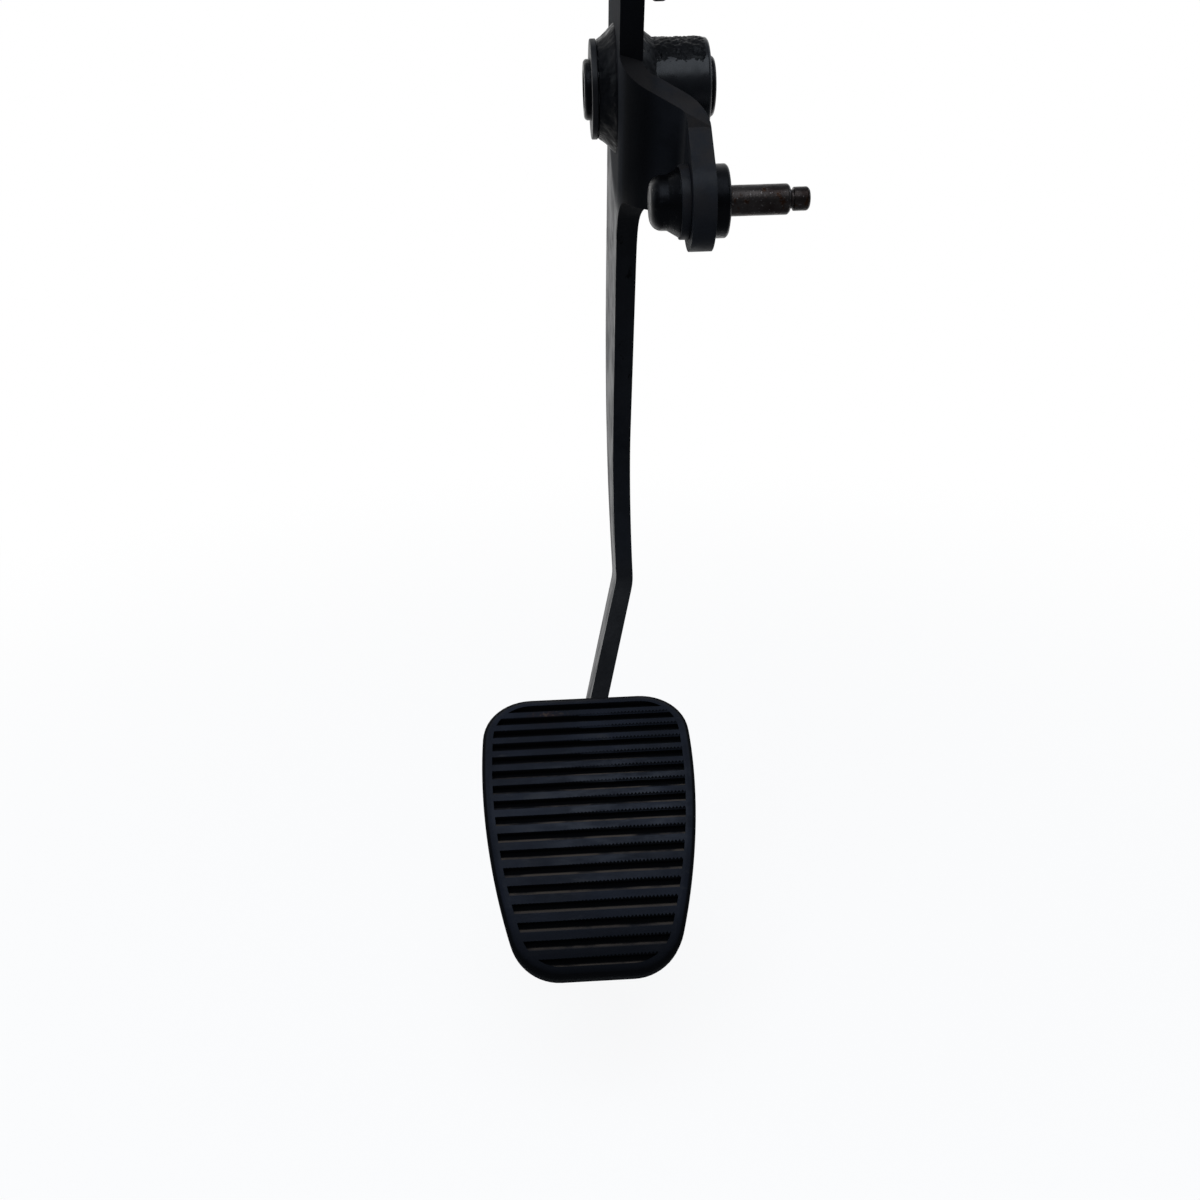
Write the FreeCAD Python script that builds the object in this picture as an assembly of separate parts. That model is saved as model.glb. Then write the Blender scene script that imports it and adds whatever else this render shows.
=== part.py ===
"""A clutch pedal: a folded plate arm with a pivot tube, a pushrod pin on an ear and a ribbed rubber pad.

Millimetres. The origin is on the pivot axis, in the middle plane of the arm.
+X runs along the pivot axis towards the pushrod pin, +Y away from the driver, +Z up.
"""
import math
import os

import FreeCAD
import Part

V = FreeCAD.Vector
X_AXIS = V(1, 0, 0)

# Plate of the arm and its side outline
PLATE = 5.8
ARM_SLOPE = 60.0            # the arm passes the pivot at this angle from the horizontal
ARM_WIDTH = 42.0
FRONT_EDGE = 16.6           # from the pivot axis to the driver's edge
KNEE_RUN = 110.0            # run past the pivot where the arm starts to curve back to the driver
KNEE_RADIUS = 55.0
KNEE_TURN = 62.0
SHANK_WIDTH = 41.0          # arm widths where the knee starts, halfway and where it ends
KNEE_WIDTH = 35.0
ANKLE_WIDTH = 24.0
TOE_DEPTH = 8.0
TOE_HEEL = 26.0             # depth of the toe under the pad where it leaves the arm
TOE_START = -16.5           # angles on the pad's curve, from its middle
TOE_END = 2.0
FOOT_BEND = 15.6            # the foot leans to the left by this angle
FOOT_BEND_TILT = 16.0       # the fold line drops towards the back by this angle
FOOT_BEND_DROP = 137.6      # from the pivot axis down to the fold, square to the fold line
FOOT_BEND_RADIUS = 16.0

# Pivot
TUBE_OUTER = 24.0
TUBE_BORE = 18.0
TUBE_LEFT = 7.6
TUBE_RIGHT = 21.6
WELD_LEG = 4.0
WELD_RUN = 4.6
BUSH_LENGTH = 11.0
BUSH_FLANGE = 24.6
BUSH_FLANGE_THICK = 1.6
SLEEVE_OUTER = 15.0
SLEEVE_BORE = 10.4
SLEEVE_PROUD = 1.8
RUNNING_GAP = 0.05
SEAT_GAP = 0.05
EDGE_BREAK = 0.6

# Ear that carries the pushrod pin
EAR_OFFSET = 16.0           # between the middle planes of arm and ear
EAR_TURN = 70.0
EAR_RADIUS = 6.0
EAR_REACH = 39.9            # from the pivot axis to the pin, square to the arm
EAR_SHIFT = 7.5             # along the arm, from the pivot axis to the pin
EAR_TIP = 12.0
EAR_CREST = -22.0           # the sloping upper edge would cross the pivot's plane at this run
EAR_TAPER = 0.27            # run it gains for each step out
EAR_SLANT = 0.33            # run it gains for each step across
EAR_NECK = 31.0             # from here out the upper edge is square to the ear
EAR_SHOULDER = 25.0         # place in the fold where the neck's edge meets the sloping one
EAR_SHOULDER_RUN = -14.6
EAR_FLARE = 24.0            # length of the flare that joins the lower edge to the arm
EAR_FLARE_REACH = 6.0

# Pushrod pin
PIN_STEM = 10.0
PIN_COLLAR = 17.8
PIN_COLLAR_THICK = 4.0
PIN_SHANK = 7.5
PIN_SHANK_LENGTH = 15.7
PIN_END = 5.8
PIN_END_LENGTH = 5.0
PIN_GROOVE = 0.9
PIN_GROOVE_DEPTH = 0.6
PIN_HEAD = 13.4
PIN_HEAD_HEIGHT = 4.4
PIN_HEAD_ROUND = 3.2
PIN_CONE = 17.0             # the head widens to this at the washer
PIN_CONE_HEIGHT = 3.0
WASHER_OUTER = 18.0
WASHER_THICK = 2.4
WASHER_ROOM = 0.074         # from the washer's edge to the end of the ear's fold

# Spring stud at the upper end of the arm
STUD_RUN = 33.4             # from the pivot axis up the arm
STUD_OUT = 6.2              # from the pivot axis towards the driver
STUD_STEM = 7.0
STUD_NECK = 8.0
STUD_NECK_LENGTH = 2.4
STUD_HEAD = 13.2
STUD_HEAD_THICK = 3.6
STUD_RIVET = 10.0
STUD_RIVET_HEIGHT = 1.6

# Pad: a rubber cover on a curved steel plate
PAD_X = -16.2               # middle of the pad along the pivot axis
PAD_Y = -25.3               # middle of its face
PAD_Z = -210.0
PAD_TILT = 49.1             # its face looks up by this angle
PAD_CURVE = 125.0
PAD_ABOVE = 44.7            # outline, measured from the middle of the face
PAD_BELOW = 46.2
PAD_HALF_TOP = 32.6
PAD_HALF_MIDDLE = 33.2
PAD_HALF_BOTTOM = 23.2
PAD_CORNER = 16.0
RUBBER_THICK = 6.0
RUBBER_WALL = 3.0
LIP_THICK = 2.0
LIP_REACH = 5.0
FOOT_PLATE = 2.5
RIM = 4.6
GROOVES = 17
GROOVE_PITCH = 5.25
GROOVE_WIDTH = 1.7
GROOVE_DEPTH = 2.2
GROOVE_FIRST = -41.4        # first groove, measured along the face from its middle
LIP_ROOM = 0.6
FOOT_WELD = 3.0
FOOT_WELD_START = -14.5     # angles on the pad's curve
FOOT_WELD_END = 1.0
FAR = 200.0

# Values that follow from those above
HALF = PLATE / 2
SLOPE_COS = math.cos(math.radians(ARM_SLOPE))
SLOPE_SIN = math.sin(math.radians(ARM_SLOPE))
TILT_COS = math.cos(math.radians(PAD_TILT))
TILT_SIN = math.sin(math.radians(PAD_TILT))
EAR_LEFT = EAR_OFFSET - HALF
EAR_RIGHT = EAR_OFFSET + HALF
PAD_AXIS = V(0, PAD_Y + PAD_CURVE * TILT_COS, PAD_Z - PAD_CURVE * TILT_SIN)
PLATE_FRONT = PAD_CURVE - RUBBER_THICK
PLATE_BACK = PLATE_FRONT - FOOT_PLATE
LIP_BACK = PLATE_BACK - LIP_THICK


def on_arm(run, out, x=0.0):
    """Point at a run down the arm from the pivot axis and a distance out towards the driver."""
    return V(x, run * SLOPE_COS - out * SLOPE_SIN, -run * SLOPE_SIN - out * SLOPE_COS)


def on_pad_curve(radius, degrees, x=0.0):
    """Point round the pad's axis, at an angle down from the middle of its face."""
    angle = math.radians(degrees - PAD_TILT)
    return V(x, PAD_AXIS.y - radius * math.cos(angle), PAD_AXIS.z - radius * math.sin(angle))


def on_pad(x, down, out):
    """Point over the pad: across, down its chord and out along the way it faces."""
    return V(PAD_X + x, PAD_Y - down * TILT_SIN - out * TILT_COS, PAD_Z - down * TILT_COS + out * TILT_SIN)


def line(start, end):
    return Part.LineSegment(start, end).toShape()


def arc(start, middle, end):
    return Part.Arc(start, middle, end).toShape()


def prism(edges, travel):
    """Solid that a closed run of edges sweeps along a straight travel."""
    return Part.Face(Part.Wire(Part.__sortEdges__(edges))).extrude(travel)


def cylinder(diameter, start, end, at=V(0, 0, 0)):
    """Solid cylinder along X between two places, round a line through a point."""
    return Part.makeCylinder(diameter / 2, end - start, V(start, at.y, at.z), X_AXIS)


def turned(profile, at=V(0, 0, 0)):
    """Solid turned round a line along X from (x, radius) points, closed along that line."""
    first = profile[0][0]
    last = profile[-1][0]
    points = [V(first, at.y, at.z)]
    points += [V(x, at.y, at.z + radius) for x, radius in profile]
    points += [V(last, at.y, at.z), V(first, at.y, at.z)]
    return Part.Face(Part.makePolygon(points)).revolve(at, X_AXIS, 360)


def ribbon_edges(start, heading, steps, thickness, place):
    """Closed edges of a bent strip: steps are straight lengths or (middle radius, turn) pairs."""
    sides = []
    for offset in (thickness / 2, -thickness / 2):
        here = list(start)
        way = math.radians(heading)
        edges = []
        for step in steps:
            left = (-math.sin(way), math.cos(way))
            begin = (here[0] + offset * left[0], here[1] + offset * left[1])
            if isinstance(step, tuple):
                radius, turn = step
                sign = math.copysign(1.0, turn)
                centre = (here[0] + sign * radius * left[0], here[1] + sign * radius * left[1])
                near = radius - sign * offset
                points = []
                for share in (0.0, 0.5, 1.0):
                    angle = way + math.radians(turn) * share
                    points.append((centre[0] + sign * near * math.sin(angle),
                                   centre[1] - sign * near * math.cos(angle)))
                edges.append(arc(*[place(*point) for point in points]))
                way += math.radians(turn)
                here = [centre[0] + sign * radius * math.sin(way), centre[1] - sign * radius * math.cos(way)]
                end = points[-1]
            else:
                here = [here[0] + step * math.cos(way), here[1] + step * math.sin(way)]
                end = (begin[0] + step * math.cos(way), begin[1] + step * math.sin(way))
                edges.append(line(place(*begin), place(*end)))
        sides.append((edges, place(*(start[0] - offset * math.sin(math.radians(heading)),
                                     start[1] + offset * math.cos(math.radians(heading)))), place(*end)))
    (first, first_start, first_end), (second, second_start, second_end) = sides
    return first + second + [line(first_start, second_start), line(first_end, second_end)]


def arm_outline():
    """Edges of the arm seen along the pivot axis, in the plane X = -FAR."""
    rear = FRONT_EDGE - ARM_WIDTH
    end_radius = ARM_WIDTH / 2
    end_middle = FRONT_EDGE - end_radius
    front_top = on_arm(-STUD_RUN, FRONT_EDGE, -FAR)
    rear_top = on_arm(-STUD_RUN, rear, -FAR)
    crown = on_arm(-STUD_RUN - end_radius, end_middle, -FAR)

    def on_knee(degrees, width):
        """Point on the knee's curve, by its turn and the width behind the driver's edge."""
        turn = math.radians(degrees)
        reach = KNEE_RADIUS + width
        run = KNEE_RUN + reach * math.sin(turn)
        return on_arm(run, FRONT_EDGE + KNEE_RADIUS - reach * math.cos(turn), -FAR)

    knee = on_knee(0, 0)
    ankle = on_knee(KNEE_TURN, 0)
    heading = on_arm(math.cos(math.radians(KNEE_TURN)), math.sin(math.radians(KNEE_TURN)))

    # The driver's edge runs on until it passes behind the lip of the rubber.
    passing = LIP_BACK - LIP_ROOM
    from_axis = V(0, ankle.y - PAD_AXIS.y, ankle.z - PAD_AXIS.z)
    along = from_axis.dot(heading)
    reach = -along - math.sqrt(along ** 2 - from_axis.dot(from_axis) + passing ** 2)
    tuck = ankle + heading * reach
    tuck_angle = PAD_TILT + math.degrees(math.atan2(PAD_AXIS.z - tuck.z, PAD_AXIS.y - tuck.y))

    seat = PLATE_BACK - SEAT_GAP
    lip_edge = on_pad_curve(passing, TOE_START, -FAR)
    lip_middle = on_pad_curve(passing, (tuck_angle + TOE_START) / 2, -FAR)
    seat_start = on_pad_curve(seat, TOE_START, -FAR)
    seat_middle = on_pad_curve(seat, (TOE_START + TOE_END) / 2, -FAR)
    seat_end = on_pad_curve(seat, TOE_END, -FAR)
    toe_end = on_pad_curve(seat - TOE_DEPTH, TOE_END, -FAR)
    heel = on_pad_curve(seat - TOE_HEEL, TOE_START, -FAR)

    back = Part.BSplineCurve()
    back.interpolate(
        Points=[on_arm(KNEE_RUN / 2, rear, -FAR), on_knee(0, SHANK_WIDTH), on_knee(KNEE_TURN / 2, KNEE_WIDTH),
                on_knee(KNEE_TURN, ANKLE_WIDTH), heel, toe_end],
        InitialTangent=on_arm(KNEE_RUN / 2, 0), FinalTangent=toe_end - heel)
    return [
        arc(rear_top, crown, front_top),
        line(front_top, knee),
        arc(knee, on_knee(KNEE_TURN / 2, 0), ankle),
        line(ankle, tuck),
        arc(tuck, lip_middle, lip_edge),
        line(lip_edge, seat_start),
        arc(seat_start, seat_middle, seat_end),
        line(seat_end, toe_end),
        back.toShape(),
        line(on_arm(KNEE_RUN / 2, rear, -FAR), rear_top),
    ]


def arm_strip(thickness):
    """The arm's plate seen along its fold line: upright, then leaning to the left at the foot."""
    tilt = math.radians(FOOT_BEND_TILT)
    fold = V(0, math.cos(tilt), -math.sin(tilt))
    down = V(0, -math.sin(tilt), -math.cos(tilt))

    def place(across, distance):
        return X_AXIS * across + down * distance - fold * FAR

    steps = [FAR / 2 + FOOT_BEND_DROP, (FOOT_BEND_RADIUS, FOOT_BEND), FAR / 2]
    return prism(ribbon_edges((0.0, -FAR / 2), 90.0, steps, thickness, place), fold * (2 * FAR))


def ear():
    """The folded ear: a strip with two opposite bends, trimmed to a rounded tab."""
    top = on_arm(-FAR / 2, 0)
    travel = on_arm(FAR / 2, 0) - top

    def place(out, x):
        return on_arm(-FAR / 2, out, x)

    inside = FRONT_EDGE / 2
    climb = EAR_OFFSET - 2 * EAR_RADIUS * (1 - math.cos(math.radians(EAR_TURN)))
    web = climb / math.sin(math.radians(EAR_TURN))
    # The fold ends beside the washer, so its start follows from the pin's place.
    fold_run = 2 * EAR_RADIUS * math.sin(math.radians(EAR_TURN)) + web * math.cos(math.radians(EAR_TURN))
    fold_start = EAR_REACH - WASHER_OUTER / 2 - WASHER_ROOM - fold_run
    steps = [fold_start - inside, (EAR_RADIUS, EAR_TURN), web, (EAR_RADIUS, -EAR_TURN), EAR_REACH + EAR_TIP]
    strip = prism(ribbon_edges((inside, 0.0), 0.0, steps, PLATE, place), travel)

    def at(run, out):
        return on_arm(run, out, -FAR)

    # The upper edge touches the rounded tip and rises towards the arm.
    slope = math.atan(EAR_TAPER)
    touch_run = EAR_SHIFT - EAR_TIP * math.cos(slope)
    touch_out = EAR_REACH + EAR_TIP * math.sin(slope)
    neck_run = touch_run - EAR_TAPER * (touch_out - EAR_NECK)
    lower = EAR_SHIFT + EAR_TIP
    flare_end = FRONT_EDGE + EAR_FLARE_REACH
    points = []
    for degrees in (0, 30, 60, 90):
        angle = math.radians(degrees)
        run = lower + EAR_FLARE * (1 - math.sin(angle))
        points.append(at(run, flare_end - EAR_FLARE_REACH * math.cos(angle)))
    flare = Part.BSplineCurve()
    flare.interpolate(Points=points, InitialTangent=at(-EAR_FLARE, 0) - at(0, 0),
                      FinalTangent=at(0, EAR_FLARE_REACH) - at(0, 0))
    tab = prism([
        line(at(-FAR / 2, inside), at(-FAR / 2, EAR_SHOULDER)),
        line(at(-FAR / 2, EAR_SHOULDER), at(EAR_SHOULDER_RUN, EAR_SHOULDER)),
        line(at(EAR_SHOULDER_RUN, EAR_SHOULDER), at(neck_run, EAR_NECK)),
        line(at(neck_run, EAR_NECK), at(touch_run, touch_out)),
        arc(at(touch_run, touch_out), at(EAR_SHIFT, EAR_REACH + EAR_TIP), at(lower, EAR_REACH)),
        line(at(lower, EAR_REACH), at(lower, flare_end)),
        flare.toShape(),
        line(at(lower + EAR_FLARE, FRONT_EDGE), at(lower + EAR_FLARE, inside)),
        line(at(lower + EAR_FLARE, inside), at(-FAR / 2, inside)),
    ], X_AXIS * (2 * FAR))

    def on_slope(out, x):
        return on_arm(EAR_CREST + EAR_TAPER * out + EAR_SLANT * x, out, x)

    corners = [on_slope(-FAR, -FAR), on_slope(FAR, -FAR), on_slope(FAR, FAR), on_slope(-FAR, FAR)]
    above = Part.Face(Part.makePolygon(corners + corners[:1])).extrude(on_arm(-FAR, 0))
    return strip.common(tab).cut(above)


PIN_CENTRE = on_arm(EAR_SHIFT, EAR_REACH)
STUD_CENTRE = on_arm(-STUD_RUN, STUD_OUT)


def pedal_arm():
    plate = arm_strip(PLATE).common(prism(arm_outline(), X_AXIS * (2 * FAR)))
    # A notch lets the upper lip of the rubber pass in front of the toe.
    lip = pad_shell(LIP_BACK - LIP_ROOM, PAD_CURVE + LIP_ROOM, -LIP_ROOM)
    plate = plate.cut(lip.cut(pad_prism(RUBBER_WALL + LIP_REACH - LIP_ROOM)))
    blank = plate.fuse(ear()).removeSplitter()
    blank = blank.cut(cylinder(TUBE_OUTER + 2 * SEAT_GAP, -FAR, FAR))
    blank = blank.cut(cylinder(PIN_STEM + 2 * SEAT_GAP, EAR_LEFT - PLATE, EAR_RIGHT + PLATE, PIN_CENTRE))
    return blank.cut(cylinder(STUD_STEM + 2 * SEAT_GAP, -PLATE, PLATE, STUD_CENTRE))


def pivot_tube():
    tube = cylinder(TUBE_OUTER, -TUBE_LEFT, TUBE_RIGHT).cut(cylinder(TUBE_BORE, -FAR, FAR))
    middle_round = math.pi * (TUBE_BORE + TUBE_OUTER) / 2
    rim = [edge for edge in tube.Edges
           if abs(edge.CenterOfMass.x - TUBE_RIGHT) < SEAT_GAP and edge.Length > middle_round]
    return tube.makeChamfer(EDGE_BREAK, rim)


def pivot_weld(side):
    """Fillet bead between the tube and one face of the arm."""
    inner = TUBE_OUTER / 2 + SEAT_GAP
    foot = side * (HALF + SEAT_GAP)
    toe = side * (HALF + WELD_RUN)
    corners = [V(foot, 0, inner), V(foot, 0, inner + WELD_LEG), V(toe, 0, inner), V(foot, 0, inner)]
    return Part.Face(Part.makePolygon(corners)).revolve(V(0, 0, 0), X_AXIS, 360)


def bush(flanged):
    """Plastic bush pressed into one end of the tube; only the left one shows a flange."""
    running = SLEEVE_OUTER + 2 * RUNNING_GAP
    if flanged:
        body = cylinder(TUBE_BORE, -TUBE_LEFT, -TUBE_LEFT + BUSH_LENGTH)
        body = body.fuse(cylinder(BUSH_FLANGE, -TUBE_LEFT - BUSH_FLANGE_THICK, -TUBE_LEFT))
    else:
        body = cylinder(TUBE_BORE, TUBE_RIGHT - BUSH_LENGTH, TUBE_RIGHT)
    return body.removeSplitter().cut(cylinder(running, -FAR, FAR))


def pivot_sleeve():
    left = -TUBE_LEFT - BUSH_FLANGE_THICK - SLEEVE_PROUD
    right = TUBE_RIGHT + SLEEVE_PROUD
    radius = SLEEVE_OUTER / 2
    body = turned([(left, radius - EDGE_BREAK), (left + EDGE_BREAK, radius),
                   (right - EDGE_BREAK, radius), (right, radius - EDGE_BREAK)])
    return body.cut(cylinder(SLEEVE_BORE, -FAR, FAR))


def pushrod_pin():
    """One turned pin: a rounded head that widens to the washer, a collar, the shank and a grooved end."""
    head_base = EAR_LEFT - WASHER_THICK
    cone_start = head_base - PIN_CONE_HEIGHT
    head_end = cone_start - PIN_HEAD_HEIGHT
    collar_end = EAR_RIGHT + PIN_COLLAR_THICK
    shank_end = collar_end + PIN_SHANK_LENGTH
    tip = shank_end + PIN_END_LENGTH
    head = PIN_HEAD / 2
    shank = PIN_SHANK / 2
    end = PIN_END / 2
    collar = PIN_COLLAR / 2
    body = turned([
        (head_end, head), (cone_start, head), (head_base, PIN_CONE / 2), (head_base, PIN_STEM / 2),
        (EAR_RIGHT, PIN_STEM / 2), (EAR_RIGHT, collar),
        (collar_end - EDGE_BREAK, collar), (collar_end, collar - EDGE_BREAK), (collar_end, shank),
        (shank_end - EDGE_BREAK, shank), (shank_end, shank - EDGE_BREAK),
        (shank_end, end - PIN_GROOVE_DEPTH), (shank_end + PIN_GROOVE, end - PIN_GROOVE_DEPTH),
        (shank_end + PIN_GROOVE, end), (tip - EDGE_BREAK, end), (tip, end - EDGE_BREAK),
    ], PIN_CENTRE)
    rim = [edge for edge in body.Edges
           if abs(edge.CenterOfMass.x - head_end) < SEAT_GAP and edge.Length > math.pi * PIN_STEM]
    return body.makeFillet(PIN_HEAD_ROUND, rim)


def pin_washer():
    disc = cylinder(WASHER_OUTER, EAR_LEFT - WASHER_THICK, EAR_LEFT, PIN_CENTRE)
    return disc.cut(cylinder(PIN_STEM + 2 * SEAT_GAP, -FAR, FAR, PIN_CENTRE))


def spring_stud():
    """Headed stud riveted through the upper end of the arm."""
    neck_end = HALF + STUD_NECK_LENGTH
    tip = neck_end + STUD_HEAD_THICK
    head = STUD_HEAD / 2
    rivet = -HALF - STUD_RIVET_HEIGHT
    return turned([
        (rivet, STUD_RIVET / 2 - EDGE_BREAK), (rivet + EDGE_BREAK, STUD_RIVET / 2), (-HALF, STUD_RIVET / 2),
        (-HALF, STUD_STEM / 2), (HALF, STUD_STEM / 2), (HALF, STUD_NECK / 2), (neck_end, STUD_NECK / 2),
        (neck_end, head - EDGE_BREAK), (neck_end + EDGE_BREAK, head),
        (tip - EDGE_BREAK, head), (tip, head - EDGE_BREAK),
    ], STUD_CENTRE)


def pad_prism(inset):
    """The pad's outline, drawn in by an inset, as a tall prism along the way the pad faces."""
    top = -PAD_ABOVE + inset
    bottom = PAD_BELOW - inset
    half_top = PAD_HALF_TOP - inset
    half_middle = PAD_HALF_MIDDLE - inset
    half_bottom = PAD_HALF_BOTTOM - inset
    low = -FAR / 2
    solid = prism([
        line(on_pad(-half_top, top, low), on_pad(half_top, top, low)),
        arc(on_pad(half_top, top, low), on_pad(half_middle, 0, low), on_pad(half_bottom, bottom, low)),
        line(on_pad(half_bottom, bottom, low), on_pad(-half_bottom, bottom, low)),
        arc(on_pad(-half_bottom, bottom, low), on_pad(-half_middle, 0, low), on_pad(-half_top, top, low)),
    ], on_pad(0, 0, FAR / 2) - on_pad(0, 0, low))
    uprights = [edge for edge in solid.Edges
                if edge.Curve.TypeId == "Part::GeomLine" and abs(edge.Length - FAR) < SEAT_GAP]
    return solid.makeFillet(PAD_CORNER - inset, uprights)


def pad_shell(inner, outer, inset):
    """Layer of the pad between two radii round its axis, inside the outline drawn in by an inset."""
    ring = Part.makeCylinder(outer, 2 * FAR, PAD_AXIS - X_AXIS * FAR, X_AXIS)
    ring = ring.cut(Part.makeCylinder(inner, 2 * FAR, PAD_AXIS - X_AXIS * FAR, X_AXIS))
    # Only the driver's side of the ring is wanted.
    half = Part.makeBox(2 * FAR, 2 * FAR, FAR, V(-FAR, -FAR, 0))
    half.rotate(V(0, 0, 0), X_AXIS, 90.0 - PAD_TILT)
    half.translate(PAD_AXIS)
    return ring.common(half).common(pad_prism(inset))


def pad_grooves():
    """Straight slots across the pad, square to its curve, ending at a plain rim."""
    slots = []
    height = 2 * GROOVE_DEPTH
    for number in range(GROOVES):
        degrees = math.degrees((GROOVE_FIRST + number * GROOVE_PITCH) / PAD_CURVE)
        slot = Part.makeBox(FAR, GROOVE_WIDTH, height, V(PAD_X - FAR / 2, -GROOVE_WIDTH / 2, -GROOVE_DEPTH))
        slot.rotate(V(0, 0, 0), X_AXIS, 90.0 - PAD_TILT + degrees)
        slot.translate(on_pad_curve(PAD_CURVE, degrees))
        slots.append(slot)
    return Part.makeCompound(slots).common(pad_prism(RIM))


def rubber_pad():
    body = pad_shell(LIP_BACK, PAD_CURVE, 0.0)
    body = body.cut(pad_shell(PLATE_BACK, PLATE_FRONT, RUBBER_WALL))
    body = body.cut(pad_shell(LIP_BACK - LIP_THICK, PLATE_BACK, RUBBER_WALL + LIP_REACH))
    return body.cut(pad_grooves())


def foot_plate():
    return pad_shell(PLATE_BACK + SEAT_GAP, PLATE_FRONT - SEAT_GAP, RUBBER_WALL + SEAT_GAP)


def foot_weld(side):
    """Bead along one side of the arm's toe, under the foot plate."""
    outer = PLATE_BACK - SEAT_GAP
    inner = outer - FOOT_WELD
    middle = (FOOT_WELD_START + FOOT_WELD_END) / 2

    def at(radius, degrees):
        return on_pad_curve(radius, degrees, -FAR)

    section = prism([
        arc(at(outer, FOOT_WELD_START), at(outer, middle), at(outer, FOOT_WELD_END)),
        line(at(outer, FOOT_WELD_END), at(inner, FOOT_WELD_END)),
        arc(at(inner, FOOT_WELD_END), at(inner, middle), at(inner, FOOT_WELD_START)),
        line(at(inner, FOOT_WELD_START), at(outer, FOOT_WELD_START)),
    ], X_AXIS * (2 * FAR))
    both = arm_strip(PLATE + 2 * FOOT_WELD).common(section).cut(arm_strip(PLATE + 2 * SEAT_GAP))
    beads = sorted(both.Solids, key=lambda solid: solid.CenterOfMass.x)
    return beads[0] if side < 0 else beads[-1]


PIECES = {
    "pedal_arm": pedal_arm(),
    "pivot_tube": pivot_tube(),
    "pivot_weld_left": pivot_weld(-1),
    "pivot_weld_right": pivot_weld(1),
    "pivot_bush_left": bush(True),
    "pivot_bush_right": bush(False),
    "pivot_sleeve": pivot_sleeve(),
    "pushrod_pin": pushrod_pin(),
    "pin_washer": pin_washer(),
    "spring_stud": spring_stud(),
    "foot_plate": foot_plate(),
    "foot_weld_left": foot_weld(-1),
    "foot_weld_right": foot_weld(1),
    "rubber_pad": rubber_pad(),
}

os.makedirs("parts", exist_ok=True)
for name, shape in PIECES.items():
    box = shape.BoundBox
    print(name, len(shape.Solids), shape.isValid(), round(shape.Volume), [round(v, 1) for v in (
        box.XMin, box.YMin, box.ZMin, box.XMax, box.YMax, box.ZMax)])
    shape.exportStep(os.path.join("parts", name + ".step"))
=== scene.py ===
"""Dresses a clutch pedal: black paint, weld beads, turned steel and a ribbed rubber pad.

Metres. The frame's origin is on the pivot axis, +X along it towards the pushrod pin, +Y away from the driver.
"""
import math

import bmesh
import bpy
from bpy.props import FloatProperty, FloatVectorProperty, IntProperty, PointerProperty
from bpy.types import Operator, Panel, PropertyGroup
from mathutils import Matrix, Vector


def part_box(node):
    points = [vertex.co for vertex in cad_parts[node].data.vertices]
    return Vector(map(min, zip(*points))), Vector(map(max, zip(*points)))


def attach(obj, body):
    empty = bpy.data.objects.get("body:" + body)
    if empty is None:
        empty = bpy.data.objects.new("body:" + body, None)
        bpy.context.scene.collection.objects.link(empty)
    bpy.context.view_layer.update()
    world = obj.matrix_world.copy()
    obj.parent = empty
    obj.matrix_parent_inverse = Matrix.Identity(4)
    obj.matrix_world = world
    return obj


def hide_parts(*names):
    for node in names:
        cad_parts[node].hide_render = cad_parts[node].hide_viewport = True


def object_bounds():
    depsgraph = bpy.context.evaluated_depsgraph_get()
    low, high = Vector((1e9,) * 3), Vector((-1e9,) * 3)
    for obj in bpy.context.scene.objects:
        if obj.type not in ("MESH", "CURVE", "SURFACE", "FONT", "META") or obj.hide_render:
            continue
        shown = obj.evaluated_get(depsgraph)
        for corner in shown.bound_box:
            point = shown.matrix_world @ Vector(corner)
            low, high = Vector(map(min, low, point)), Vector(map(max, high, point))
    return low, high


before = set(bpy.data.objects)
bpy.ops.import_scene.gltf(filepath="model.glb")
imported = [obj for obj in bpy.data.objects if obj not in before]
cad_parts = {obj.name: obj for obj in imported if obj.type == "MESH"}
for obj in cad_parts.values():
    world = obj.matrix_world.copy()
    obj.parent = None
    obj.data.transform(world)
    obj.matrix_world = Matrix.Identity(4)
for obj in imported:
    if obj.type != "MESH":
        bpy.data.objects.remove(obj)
CAD_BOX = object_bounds()

bl_info = {
    "name": "Clutch pedal",
    "version": (1, 0, 0),
    "blender": (4, 5, 0),
    "location": "3D View > Sidebar > Pedal",
    "description": "Dresses the frame of a clutch pedal with paint, welds and a ribbed rubber pad",
    "category": "Object",
}

MM = 0.001
TINY = 0.01 * MM        # nearer than this is the same place
WHITE = (1.0, 1.0, 1.0, 1.0)
FILM = 36.0             # width of the camera's square film in millimetres
PAD_CREASE = 38         # corners of the pad and its plate sharper than these degrees stay crisp
PEDAL = "pedal"
SLEEVE = "pivot_sleeve"
PAD_LOW, PAD_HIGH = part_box("rubber_pad")
TUBE_LOW, TUBE_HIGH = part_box("pivot_tube")
EAR_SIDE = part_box("pedal_arm")[1].x
TUBE_RADIUS = (TUBE_HIGH.z - TUBE_LOW.z) / 2


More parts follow.
